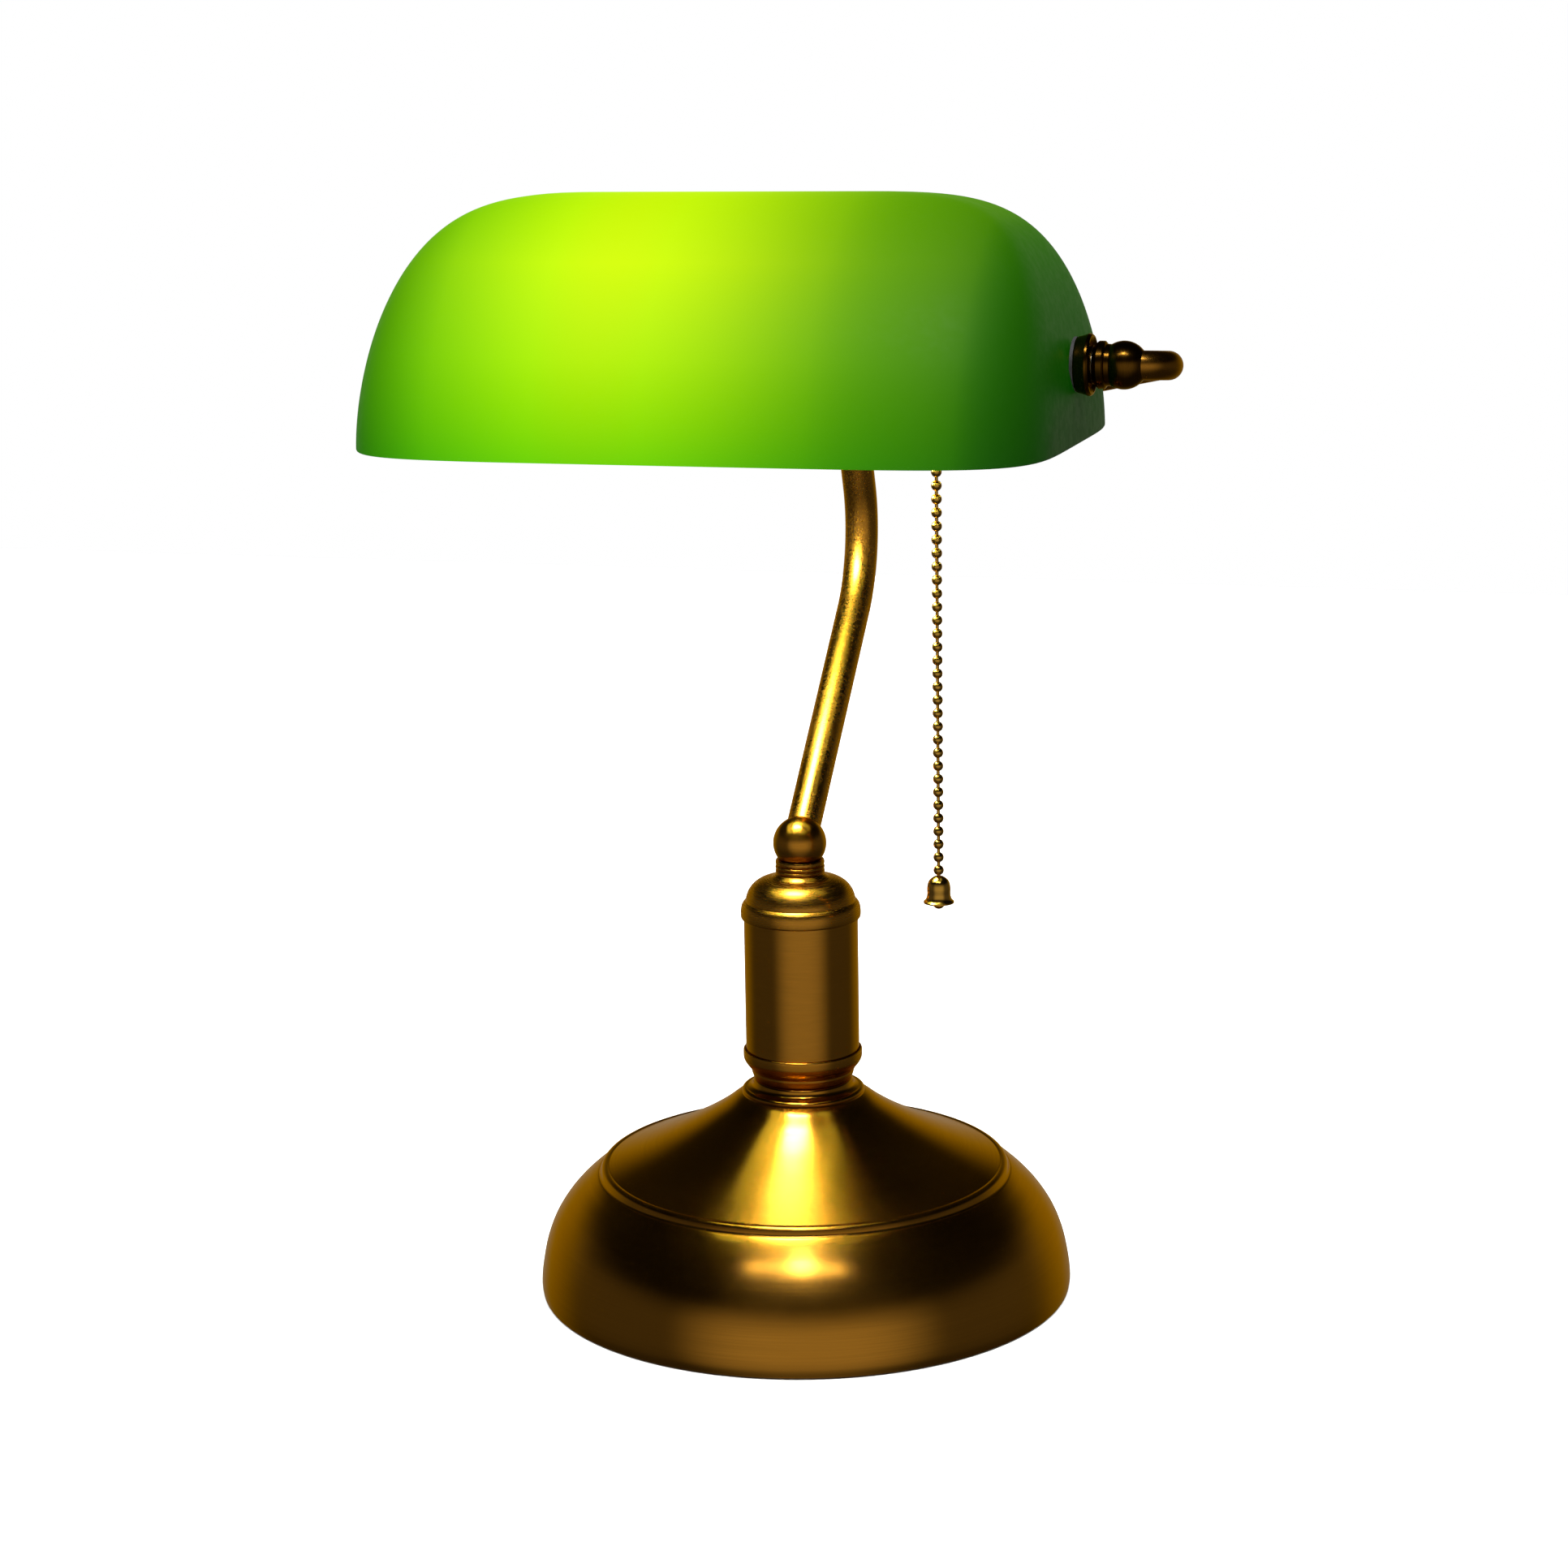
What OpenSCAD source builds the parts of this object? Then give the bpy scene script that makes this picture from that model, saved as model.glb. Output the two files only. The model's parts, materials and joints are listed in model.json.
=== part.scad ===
// Banker desk lamp: weighted brass base, swan-neck arm, glass trough shade and pull-chain lampholder.
// Origin at the centre of the underside of the base. +X runs along the shade, towards its coupling,
// +Y to the back of the lamp, where the arm leans, and +Z up.

/* [Base] */
// Radius of the base at its foot
base_r = 90; // [80:1:100]
// Wall of the spun base shell
shell_wall = 1.4; // [1:0.1:1.8]
// Thickness of the felt pad under the base
felt_t = 1.6; // [1:0.1:2]
// Thickness of the plate that closes the base
plate_t = 1.6; // [1:0.1:2]
// Radius of the iron weight
weight_r = 80; // [60:1:82]
// Height of the iron weight
weight_h = 17; // [12:0.5:19]
// Radius of the hole for the mains lead
inlet_r = 3.5; // [2.5:0.1:4]
// Number of screws that hold the plate
plate_screws_n = 3; // [3:1:6]

/* [Column] */
// Outer radius of the column tube
column_r = 19.1; // [18.6:0.1:19.2]
// Wall of the column tube
column_wall = 1.4; // [1:0.1:2]
// Height of the top of the base shell
column_foot_z = 72.6; // [72.6:0.1:72.6]
// Height of the centre of the ball on the column
ball_z = 153.5; // [153:0.1:154]
// Radius of the ball on the column
ball_r = 8.9; // [8.6:0.1:9]

/* [Arm] */
// Radius of the arm tube
arm_r = 5.7; // [5:0.1:6]
// Radius of the bend in the arm, at the tube's middle
arm_bend = 39; // [30:1:42]
// Radius of the side tube
side_r = 4.55; // [4:0.05:5]
// Radius of the ball behind the shade
rear_ball_r = 9; // [8.6:0.1:10]
// Radius of the ball beside the shade
end_ball_r = 7.5; // [7.2:0.1:8]

/* [Shade] */
// Length of the glass
shade_l = 223; // [215:1:230]
// Depth of the glass, front to back
shade_w = 150; // [144:1:156]
// Height of the glass
shade_h = 77.6; // [74:0.1:82]
// Thickness of the glass
glass_t = 4; // [3:0.1:5]
// Height of the coupling above the rim
coupling_h = 24.6; // [23:0.1:26]
// How far the shade stands in front of the column
shade_y = -20; // [-22:1:-18]

/* [Lampholder] */
// Outer radius of the lampholder
holder_r = 16.5; // [16:0.1:17.5]
// Radius of the bulb at its widest
bulb_r = 24; // [20:0.5:25]

/* [Pull chain] */
// Diameter of a bead
bead_d = 3.4; // [3:0.1:3.6]
// Distance between beads
bead_pitch = 4.3; // [4:0.1:4.5]
// Number of beads
bead_n = 32; // [16:1:34]

/* [Hidden] */
$fn = 96;
// shared clearances
run = 0.05;
gap = 0.3;
slip = 0.02;
// base
shell_top = column_foot_z;
rod_r = 5;
rod_bore = 3.2;
washer_z = 9;
plate_z = felt_t;
weight_z = plate_z + plate_t + 0.2;
weight_recess_z = washer_z + 1;
inlet_z = 11;
screw_ring_r = 62;
// column
column_z0 = 80.2;
column_z1 = 129.6;
bridge_z = 118;
rod_top = 126;
nut_h = 4;
nut_across = 16;
stud_r = 4.95;
// arm, as points along the tube's middle
end_ball_x = 112.2;
lap = 0.4;
lap_step = 0.03;
ball_c = [0, 0, ball_z];
arm_points = [ball_c, [0, 89, 238], [0, 72, 284]];
side_points = [[0, 72, 284], [109, 76, 306], [126, shade_y, 315], [end_ball_x, shade_y, 315]];
side_bends = [16, 9];
// shade
axis_z = 315;
shade_x = -13;
rim_z = axis_z - coupling_h;
section_p = 1.7;
section_q = 1.8;
end_p = 1.82;
end_q = 7.35;
plan_n = 5.64;
glass_sides = 80;
glass_levels = [0, 0.2, 0.4, 0.55, 0.68, 0.78, 0.86, 0.91, 0.945, 0.97, 0.985, 0.995, 0.9985];
hole_r = 5.8;
boss_r = 10.4;
boss_x0 = 91.6;
boss_x1 = 96.6;
gasket_t = 1;
nipple_r = 4.9;
collar_x = 102.9;
flange_x = boss_x1 + gasket_t;
// lampholder
holder_x0 = 20;
holder_x1 = 76;
chain_x = 52.5;
chain_r = 0.55;
rod_thin = 0.9;
drum_r = 4;
drum_x = chain_x + rod_thin + gap + drum_r;
drum_z = axis_z - 6;
drum_w = 8;
spout_z = 291.8;
chain_top = 287.1;
bead_top = chain_top - bead_d / 2 - gap;
bell_top = bead_top - (bead_n - 1) * bead_pitch - bead_d / 2 - 0.1;

// ---- helpers ----

// A point of the smooth curve through four points, at t from 0 to 1 between the middle two
function curve(a, b, c, d, t) =
    0.5 * (2 * b + (c - a) * t + (2 * a - 5 * b + 4 * c - d) * t * t + (3 * b - a - 3 * c + d) * t * t * t);

// A smooth line through the points p, with k steps between neighbours
function smooth(p, k = 5) = [
    for (i = [0:len(p) - 2]) for (j = [0:k - 1])
        curve(p[max(i - 1, 0)], p[i], p[i + 1], p[min(i + 2, len(p) - 1)], j / k),
    p[len(p) - 1],
];

// The same points from last to first
function reversed(p) = [for (i = [len(p) - 1:-1:0]) p[i]];

function unit(v) = v / norm(v);

// Turns a profile of [radius, height] points about Z
module turned(profile) {
    rotate_extrude() polygon(profile);
}

// A ring or tube about Z, from z0 to z1
module ring(r_out, r_in, z0, z1) {
    difference() {
        translate([0, 0, z0]) cylinder(r = r_out, h = z1 - z0);
        translate([0, 0, z0 - 1]) cylinder(r = r_in, h = z1 - z0 + 2);
    }
}

// Puts a part that is turned about Z on the shade's axis, with its Z along +X
module on_axis() {
    translate([0, shade_y, axis_z]) rotate([0, 90, 0]) children();
}

// A straight rod between two points
module rod_between(a, b, r) {
    v = b - a;
    translate(a) rotate([0, acos(v[2] / norm(v)), atan2(v[1], v[0])]) cylinder(r = r, h = norm(v));
}

// A quarter or other part of a round bend that leaves the straight u1 at point s and ends along u2
module bend(s, u1, u2, bend_r, r) {
    n = unit(cross(u1, u2));
    m = cross(n, u1);
    c = s + bend_r * m;
    multmatrix([
        [-m[0], u1[0], n[0], c[0]],
        [-m[1], u1[1], n[1], c[1]],
        [-m[2], u1[2], n[2], c[2]],
        [0, 0, 0, 1],
    ])
        rotate_extrude(angle = acos(u1 * u2)) translate([bend_r, 0]) circle(r = r);
}

// A bent rod along the points p, with a round bend of radius bends[i] at each inner point,
// starting s0 after the first point and ending s1 before the last. The straight runs reach a little
// way into the bends, so that the rod is one piece.
module bent_rod(p, bends, r, s0, s1) {
    last = len(p) - 1;
    u = [for (i = [0:last - 1]) unit(p[i + 1] - p[i])];
    cut = [
        s0,
        for (i = [1:last - 1]) bends[i - 1] * tan(acos(u[i - 1] * u[i]) / 2),
        s1,
    ];
    run_end = [for (i = [0:last]) i == 0 || i == last ? cut[i] : cut[i] - lap];
    for (i = [0:last - 1])
        rod_between(p[i] + run_end[i] * u[i], p[i + 1] - run_end[i + 1] * u[i], r);
    for (i = [1:last - 1])
        bend(p[i] - cut[i] * u[i - 1], u[i - 1], u[i], bends[i - 1], r - lap_step);
}

// A hexagonal nut about Z
module hex_nut(across, r_in, z0, h) {
    difference() {
        translate([0, 0, z0]) cylinder(d = across / cos(30), h = h, $fn = 6);
        translate([0, 0, z0 - 1]) cylinder(r = r_in, h = h + 2);
    }
}

// ---- base ----

module felt_pad() {
    color("darkolivegreen") cylinder(r = base_r - 4, h = felt_t);
}

module base_plate() {
    color("dimgray") difference() {
        ring(base_r - 2, 16, plate_z, plate_z + plate_t);
        for (i = [0:plate_screws_n - 1])
            rotate([0, 0, i * 360 / plate_screws_n]) translate([screw_ring_r, 0, 0]) {
                cylinder(r = 1.6, h = 10);
                cylinder(r = 3.2, h = plate_z + 0.9);
            }
    }
}

module plate_screws() {
    color("silver") for (i = [0:plate_screws_n - 1])
        rotate([0, 0, i * 360 / plate_screws_n]) translate([screw_ring_r, 0, plate_z]) {
            cylinder(r = 3, h = 0.9);
            cylinder(r = 1.5, h = 8);
        }
}

module base_weight() {
    color("darkslategray") difference() {
        ring(weight_r, rod_r + 0.2, weight_z, weight_z + weight_h);
        translate([0, 0, weight_z - 1]) cylinder(r = 16, h = weight_recess_z - weight_z + 1);
        translate([-4.5, 0, weight_z - 1]) cube([9, weight_r + 1, inlet_z + 4 - weight_z + 1]);
        for (i = [0:plate_screws_n - 1])
            rotate([0, 0, i * 360 / plate_screws_n]) translate([screw_ring_r, 0, 0])
                cylinder(r = 1.55, h = plate_z + 8.5);
    }
}

module rod_washer() {
    color("silver") ring(11, rod_r + 0.1, washer_z, washer_z + 1);
}

module rod_nut() {
    color("silver") hex_nut(nut_across, rod_r + slip, washer_z - nut_h, nut_h);
}

module centre_rod() {
    color("silver") ring(rod_r, rod_bore, washer_z - nut_h, rod_top);
}

module spacer_tube() {
    color("silver") ring(8, rod_r + 0.2, weight_z + weight_h, shell_top - shell_wall);
}

// The outline of the base from its collar down to its foot, as [radius, height]
cone_outline = smooth([
    [20.6, 67.5], [23, 66.2], [28, 62.4], [35, 57.9], [42, 54], [49, 50.5], [56, 47.3], [62, 44.8],
    [66.6, 43],
]);
step_outline = [[67.7, 43], [68.5, 42.5], [68.9, 41.4], [69.3, 40.6]];
skirt_outline = smooth([
    [70.3, 40], [73.2, 37.8], [77.6, 33.8], [81.7, 29], [85.4, 23], [88, 16], [89.5, 8.5], [90, 3.5],
    [89.7, 0.6],
]);
collar_outline = concat(
    [[15.4, shell_top], [16.2, shell_top], [16.7, 72.1]],
    smooth([[16.8, 71.4], [17.4, 70.2], [18.8, 69.5]]),
    [[19.8, 69.4], [20.4, 69], [20.6, 68.4], [20.3, 67.9]]
);

module base_shell() {
    scale_r = base_r / 90;
    outer = concat(collar_outline, cone_outline, step_outline, skirt_outline);
    lower = concat(cone_outline, step_outline, skirt_outline);
    inner = [for (p = lower) if (p[1] > 4) [p[0] - shell_wall, p[1] - shell_wall]];
    outline = concat(
        [[rod_r + 0.2, shell_top]], outer, [[88.3, 0.6]], reversed(inner),
        [[15, shell_top - shell_wall], [rod_r + 0.2, shell_top - shell_wall]]
    );
    color("darkgoldenrod") difference() {
        turned([for (p = outline) [p[0] > 60 ? p[0] * scale_r : p[0], p[1]]]);
        translate([0, base_r - 10, inlet_z]) rotate([-90, 0, 0]) cylinder(r = 4.95, h = 20);
    }
}

module cord_grommet() {
    color("black") translate([0, 0, inlet_z]) rotate([-90, 0, 0]) difference() {
        turned([
            [0, base_r - 6], [6.5, base_r - 6], [6.5, base_r - 4.4], [4.9, base_r - 4.4],
            [4.9, base_r + 0.4], [6.4, base_r + 0.4], [6.6, base_r + 1], [6.2, base_r + 1.8], [0, base_r + 2],
        ]);
        translate([0, 0, base_r - 10]) cylinder(r = inlet_r, h = 20);
    }
}

// ---- column ----

module column_cup() {
    color("darkgoldenrod") turned([
        [rod_r + 0.2, shell_top], [15.8, shell_top], [16.6, 73.2], [17, 74.2], [17.3, 75.4], [17.1, 75.8],
        [17.5, 76.2], [18.4, 77.2], [19.4, 78.6], [19.9, 79.6], [20, 80.4], [20, 82.4], [19.8, 82.9],
        [19.4, 82.9], [19.3, 82.6], [19.3, column_z0], [15, column_z0], [15, 76], [rod_r + 0.2, 76],
    ]);
}

module column() {
    color("goldenrod") ring(column_r, column_r - column_wall, column_z0, column_z1);
}

module column_bridge() {
    color("silver") ring(column_r - column_wall - slip, rod_r + 0.1, bridge_z, bridge_z + 2);
}

module bridge_nut() {
    color("silver") hex_nut(nut_across, rod_r + slip, bridge_z + 2, nut_h);
}

module column_cap() {
    dome = smooth([[18.3, 134.3], [17.9, 136.3], [16.7, 138.4], [14.6, 140.2], [12, 141.3], [9.6, 141.8]]);
    color("darkgoldenrod") turned(concat(
        [[19.3, 128.3], [19.9, 128.3], [20.1, 128.9], [20.1, 130.4], [19.9, 131.8], [19.5, 132.9]],
        [[18.9, 133.6], [18.4, 133.9]],
        dome,
        [[6.2, 141.8], [6.2, 140.4], [10, 140.4], [15, 138], [17, 134], [17, column_z1], [19.3, column_z1]]
    ));
}

module neck_collar() {
    flare = smooth([[9.8, 141.8], [9.1, 142.3], [8.2, 143]]);
    color("darkgoldenrod") difference() {
        turned(concat(
            flare,
            [
                [7.9, 143.4], [8.2, 143.8], [8.2, 144.4], [7.7, 144.8], [8.2, 145.2], [8.2, 145.8],
                [7.7, 146.2], [8.1, 146.6], [8.1, 147.6], [7.9, 148],
            ],
            [[stud_r + run, 148], [stud_r + run, 138.6], [6.1, 138.6], [6.1, 141.8]]
        ));
        translate(ball_c) sphere(r = ball_r + gap);
    }
}

// ---- arm ----

module swivel_ball() {
    u = unit(arm_points[1] - arm_points[0]);
    color("darkgoldenrod") difference() {
        union() {
            translate(ball_c) sphere(r = ball_r);
            translate([0, 0, 131]) cylinder(r = stud_r, h = ball_z - 131);
        }
        translate([0, 0, 130]) cylinder(r = rod_bore, h = ball_z - 130);
        translate(ball_c) sphere(r = rod_bore);
        rod_between(ball_c, ball_c + 12 * u, rod_bore);
        rod_between(ball_c + 4 * u, ball_c + 12 * u, arm_r + slip);
    }
}

module swivel_nut() {
    color("silver") hex_nut(14, stud_r + slip, 138.6 - gap - nut_h, nut_h);
}

module arm_tube() {
    color("goldenrod") difference() {
        bent_rod(arm_points, [arm_bend], arm_r, 4, 4);
        bent_rod(arm_points, [arm_bend], arm_r - 1.2, 3, 3);
    }
}

module rear_ball() {
    from_arm = unit(arm_points[1] - arm_points[2]);
    to_side = unit(side_points[1] - side_points[0]);
    color("darkgoldenrod") translate(side_points[0]) difference() {
        sphere(r = rear_ball_r);
        rod_between(-3 * from_arm, 12 * from_arm, rod_bore);
        rod_between(4 * from_arm, 12 * from_arm, arm_r + slip);
        rod_between([0, 0, 0], 12 * to_side, rod_bore - 0.4);
        rod_between(6 * to_side, 12 * to_side, side_r + slip);
    }
}

module side_tube() {
    color("goldenrod") difference() {
        bent_rod(side_points, side_bends, side_r, 6, 2.5);
        bent_rod(side_points, side_bends, side_r - 1.1, 5, 1.5);
    }
}

module end_ball() {
    color("darkgoldenrod") on_axis() difference() {
        translate([0, 0, end_ball_x]) sphere(r = end_ball_r);
        translate([0, 0, end_ball_x - 10]) cylinder(r = rod_bore, h = 20);
        translate([0, 0, end_ball_x + 2.5]) cylinder(r = side_r + slip, h = 10);
        translate([0, 0, end_ball_x - 10]) cylinder(r = nipple_r + slip, h = 6.5);
    }
}

module end_collar() {
    color("darkgoldenrod") on_axis() difference() {
        translate([0, 0, collar_x]) turned([
            [nipple_r + slip, 0], [5.9, 0], [6.6, 0.7], [7.1, 1.2], [7.4, 1.6], [7.4, 3.3],
            [7, 3.7], [6.5, 4], [6.4, 5.5], [6.1, 5.9], [nipple_r + slip, 5.9],
        ]);
        translate([0, 0, end_ball_x]) sphere(r = end_ball_r);
    }
}

module nipple() {
    color("silver") on_axis() ring(nipple_r, rod_bore, 80, end_ball_x - 3.6);
}

// ---- shade ----

// The shares of the depth and of the length that are left at the share s of the height
function depth_at(s) = pow(1 - pow(s, section_p), 1 / section_q);
function length_at(s) = pow(1 - pow(s, end_p), 1 / end_q);

// The plan is a rounded rectangle, this far from its centre at the angle a, where 1 is the middle of a side
function plan(a) = pow(pow(abs(cos(a)), plan_n) + pow(abs(sin(a)), plan_n), -1 / plan_n);

// The points of one skin of the glass, ring by ring from the rim up
function skin(l, w, h) = [
    for (s = glass_levels) for (i = [0:glass_sides - 1])
        let (a = 360 * (i + 0.5) / glass_sides)
            [l / 2 * length_at(s) * plan(a) * cos(a), w / 2 * depth_at(s) * plan(a) * sin(a), h * s],
];

module glass_trough() {
    n = glass_sides;
    m = len(glass_levels);
    outer = skin(shade_l, shade_w, shade_h);
    inner = skin(shade_l - 2 * glass_t, shade_w - 2 * glass_t, shade_h - glass_t);
    k = len(outer);
    walls = [
        for (j = [0:m - 2]) for (i = [0:n - 1]) let (p = j * n + i, q = j * n + (i + 1) % n)
            each [
                [p, p + n, q], [q, p + n, q + n],
                [k + p, k + q, k + p + n], [k + q, k + q + n, k + p + n],
            ],
    ];
    top = [for (i = [0:n - 1]) (m - 1) * n + i];
    tops = [reversed(top), [for (i = top) k + i]];
    rim = [for (i = [0:n - 1]) let (q = (i + 1) % n) each [[i, q, k + i], [q, k + q, k + i]]];
    translate([shade_x, shade_y, rim_z]) polyhedron(concat(outer, inner), concat(walls, tops, rim));
}

// A round about the shade's axis, from one end to the other
module glass_round(r, x0, x1) {
    translate([0, 0, x0]) cylinder(r = r, h = x1 - x0);
}

module shade_glass() {
    color("limegreen") difference() {
        union() {
            glass_trough();
            on_axis() glass_round(boss_r, boss_x0 - 2, boss_x1 + 2);
        }
        on_axis() glass_round(hole_r, boss_x0 - 10, boss_x1 + 10);
        on_axis() glass_round(boss_r + 1.2, boss_x0 - 10, boss_x0);
        on_axis() glass_round(boss_r + 1.2, boss_x1, boss_x1 + 10);
    }
}

module outer_flange() {
    color("darkgoldenrod") on_axis() turned([
        [nipple_r + run, boss_x0 - 4.2], [5.5, boss_x0 - 4.2], [5.5, flange_x], [8.4, flange_x],
        [8.7, flange_x + 0.5], [9, flange_x + 1.8], [9.4, flange_x + 3], [9.65, flange_x + 3.7],
        [9.6, flange_x + 4.3], [9.2, flange_x + 4.8], [8.7, flange_x + 4.9], [8.2, flange_x + 4.5],
        [7.6, flange_x + 3.9], [6.4, flange_x + 3.6], [5.9, flange_x + 4], [5.9, collar_x - gap],
        [nipple_r + run, collar_x - gap],
    ]);
}

module outer_gasket() {
    color("black") on_axis() ring(8.6, 5.6, boss_x1, flange_x);
}

module inner_gasket() {
    color("black") on_axis() ring(9.2, 5.6, boss_x0 - gasket_t, boss_x0);
}

module shade_ring_nut() {
    color("silver") on_axis() difference() {
        ring(9.6, 5.52, boss_x0 - gasket_t - 2.4, boss_x0 - gasket_t);
        for (a = [0:60:300])
            rotate([0, 0, a]) translate([9.8, 0, boss_x0 - 6]) cylinder(r = 1.2, h = 6);
    }
}

// ---- lampholder and bulb ----

module holder_cap() {
    dome = smooth([[holder_r, 77], [holder_r - 0.6, 81], [holder_r - 3, 84.6], [9.5, 86.6]]);
    color("darkgoldenrod") on_axis() turned(concat(
        [[holder_r - 0.9, holder_x1 - 2], [holder_r + 0.7, holder_x1 - 2], [holder_r + 0.7, 77]],
        dome,
        [
            [7.5, 86.9], [nipple_r + slip, 86.9], [nipple_r + slip, 85.7], [9, 85.5],
            [holder_r - 3.6, 83.4], [holder_r - 1.6, 80], [holder_r - 1.2, holder_x1],
            [holder_r - 0.9, holder_x1],
        ]
    ));
}

module holder_shell() {
    color("goldenrod") difference() {
        on_axis() turned([
            [holder_r - 1.7, holder_x0], [holder_r - 0.4, holder_x0 - 0.6], [holder_r + 0.3, holder_x0],
            [holder_r + 0.3, holder_x0 + 1.2], [holder_r - 0.9, holder_x0 + 2],
            [holder_r - 0.9, holder_x1 - 2],
            [holder_r - 1.7, holder_x1 - 2],
        ]);
        translate([chain_x, shade_y, axis_z - 30]) cylinder(r = 2.3 + slip, h = 30);
    }
}

module insulating_sleeve() {
    color("saddlebrown") difference() {
        on_axis() ring(holder_r - 1.75, holder_r - 2.3, holder_x0 + 1, holder_x1 - 3);
        translate([chain_x, shade_y, axis_z - 30]) cylinder(r = 2.4, h = 30);
    }
}

module switch_body() {
    body_r = holder_r - 2.35;
    color("dimgray") difference() {
        on_axis() translate([0, 0, 47]) cylinder(r = body_r, h = 25);
        translate([chain_x - 2, shade_y - drum_w / 2 - 0.5, axis_z - 30])
            cube([drum_x + drum_r + gap - chain_x + 2, drum_w + 1, drum_z + 12 - axis_z + 30]);
        translate([drum_x, shade_y - 7, drum_z]) rotate([-90, 0, 0]) cylinder(r = 1, h = 14);
    }
}

module drum_pin() {
    color("silver") translate([drum_x, shade_y - 6.8, drum_z]) rotate([-90, 0, 0])
        cylinder(r = 1 - slip, h = 13.6);
}

module switch_drum() {
    color("tan") translate([drum_x, shade_y, drum_z]) rotate([-90, 0, 0]) difference() {
        translate([0, 0, -drum_w / 2]) cylinder(r = drum_r, h = drum_w);
        translate([0, 0, -drum_w]) cylinder(r = 1 + run, h = 2 * drum_w);
    }
}

module screw_shell() {
    color("gold") on_axis() ring(holder_r - 2.35, holder_r - 3, 24, 46.9);
}

module centre_contact() {
    color("gold") on_axis() translate([0, 0, 45.4]) cylinder(r = 4, h = 1.5);
}

module bulb_cap() {
    color("silver") on_axis() turned([
        [0, 45.3], [4, 45.3], [4.4, 44.6], [9.5, 42.6], [12.6, 41.6],
        [12.9, 40], [12.9, 21], [13.2, 19], [12.1, 19], [12.1, 40], [0, 43],
    ]);
}

module bulb_glass() {
    outside = smooth([
        [12.05, 38], [12.05, 18], [13.5, 8], [bulb_r - 5.8, -4], [bulb_r - 1.4, -16], [bulb_r, -28],
        [bulb_r - 1.7, -40], [bulb_r - 7.6, -49], [8.4, -53.6], [0, -55],
    ]);
    inside = [for (p = outside) [max(0, p[0] - 1), p[1] + (p[1] < -28 ? 1 : 0)]];
    color("ivory") on_axis() turned(concat(outside, reversed(inside)));
}

// ---- pull chain ----

module chain_spout() {
    color("goldenrod") translate([chain_x, shade_y, 0]) turned([
        [1.9, spout_z], [3.2, spout_z], [3.6, spout_z + 0.7], [3.2, spout_z + 1.5], [2.5, spout_z + 2.4],
        [2.3, spout_z + 3], [2.3, 300.6], [1.9, 300.6],
    ]);
}

module pull_rod() {
    color("silver") translate([chain_x, shade_y, spout_z - 1.8])
        cylinder(r = rod_thin, h = drum_z + 10 - spout_z + 1.8);
}

module chain_link() {
    color("gold") translate([chain_x, shade_y, chain_top + 1.5]) {
        translate([0, 0, -0.7]) cylinder(r = 1.3, h = 1.4);
        cylinder(r = 0.8, h = spout_z - 1.8 - gap - chain_top - 1.5);
    }
}

module bead_chain() {
    color("gold") translate([chain_x, shade_y, 0]) {
        for (i = [0:bead_n - 1])
            translate([0, 0, bead_top - i * bead_pitch]) sphere(d = bead_d, $fn = 32);
        translate([0, 0, bell_top - 7.5]) cylinder(r = chain_r, h = bead_top - bell_top + 7.5);
    }
}

module pull_bell() {
    wire = chain_r + slip;
    outside = smooth([[wire, 0], [1.7, -0.4], [3.2, -1.7], [3.8, -3.8], [3.8, -6.2], [4.2, -7.7], [4.95, -8.5]]);
    inside = smooth([[4.4, -9], [3.5, -7.9], [3.1, -6.2], [3.1, -4], [2.4, -2.3], [wire, -1.4]]);
    color("gold") translate([chain_x, shade_y, bell_top]) turned(concat(outside, [[4.95, -9]], inside));
}

module end_bead() {
    color("gold") translate([chain_x, shade_y, bell_top - 9]) difference() {
        sphere(r = 2.1, $fn = 32);
        translate([0, 0, 1.4]) cylinder(r = chain_r + slip, h = 2);
    }
}

felt_pad();
base_plate();
plate_screws();
base_weight();
rod_washer();
rod_nut();
centre_rod();
spacer_tube();
base_shell();
cord_grommet();
column_cup();
column();
column_bridge();
bridge_nut();
column_cap();
neck_collar();
swivel_ball();
swivel_nut();
arm_tube();
rear_ball();
side_tube();
end_ball();
end_collar();
nipple();
shade_glass();
outer_flange();
outer_gasket();
inner_gasket();
shade_ring_nut();
holder_cap();
holder_shell();
insulating_sleeve();
switch_body();
drum_pin();
switch_drum();
screw_shell();
centre_contact();
bulb_cap();
bulb_glass();
chain_spout();
pull_rod();
chain_link();
bead_chain();
pull_bell();
end_bead();
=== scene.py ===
import json
import math
import bpy
from mathutils import Matrix, Vector


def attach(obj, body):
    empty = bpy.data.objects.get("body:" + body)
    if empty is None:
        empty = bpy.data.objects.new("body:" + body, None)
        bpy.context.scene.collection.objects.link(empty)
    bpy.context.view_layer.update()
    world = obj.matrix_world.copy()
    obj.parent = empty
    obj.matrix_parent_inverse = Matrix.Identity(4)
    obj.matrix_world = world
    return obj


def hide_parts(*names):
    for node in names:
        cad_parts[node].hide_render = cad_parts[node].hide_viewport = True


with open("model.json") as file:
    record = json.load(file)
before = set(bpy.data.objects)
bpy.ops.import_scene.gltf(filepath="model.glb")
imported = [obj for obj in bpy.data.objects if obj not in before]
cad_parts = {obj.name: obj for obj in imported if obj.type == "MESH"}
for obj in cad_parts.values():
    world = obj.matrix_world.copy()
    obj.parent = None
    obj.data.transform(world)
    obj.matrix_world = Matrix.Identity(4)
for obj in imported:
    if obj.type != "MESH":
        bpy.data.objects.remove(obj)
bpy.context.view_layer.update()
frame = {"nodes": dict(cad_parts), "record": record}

scene = bpy.context.scene
scene.view_settings.view_transform = "Standard"
scene.view_settings.look = "None"
MM = 0.001

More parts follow.
